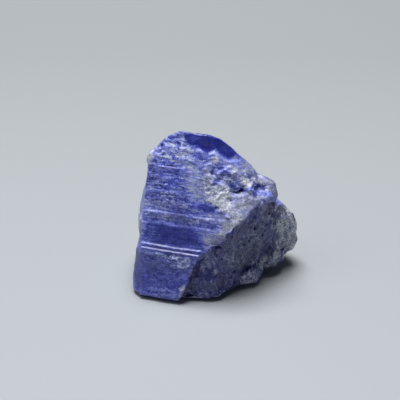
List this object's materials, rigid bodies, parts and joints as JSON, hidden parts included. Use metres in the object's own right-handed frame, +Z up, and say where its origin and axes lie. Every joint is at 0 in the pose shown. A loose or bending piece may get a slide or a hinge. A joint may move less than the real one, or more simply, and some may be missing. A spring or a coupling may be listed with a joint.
{
  "type": "rough tanzanite crystal",
  "caption": "Rough violet-blue gem crystal: a striated prism with stepped growth ledges, broken across on one side, with a flat side to lie on.",
  "frame": {"origin": "centre of the bottom of the stone's box, on the flat side it lies on", "axes": "+Z up; the striated crystal face looks towards -Y and a little -X; the broken side is at +X"},
  "size_m": [0.0226, 0.0148, 0.0215],
  "materials": {
    "stone": "deep violet-blue gem, glassy on the crystal faces, frosted and whitish where it is broken"
  },
  "bodies": {
    "root": {"tanzanite_crystal": "stone"}
  },
  "joints": []
}
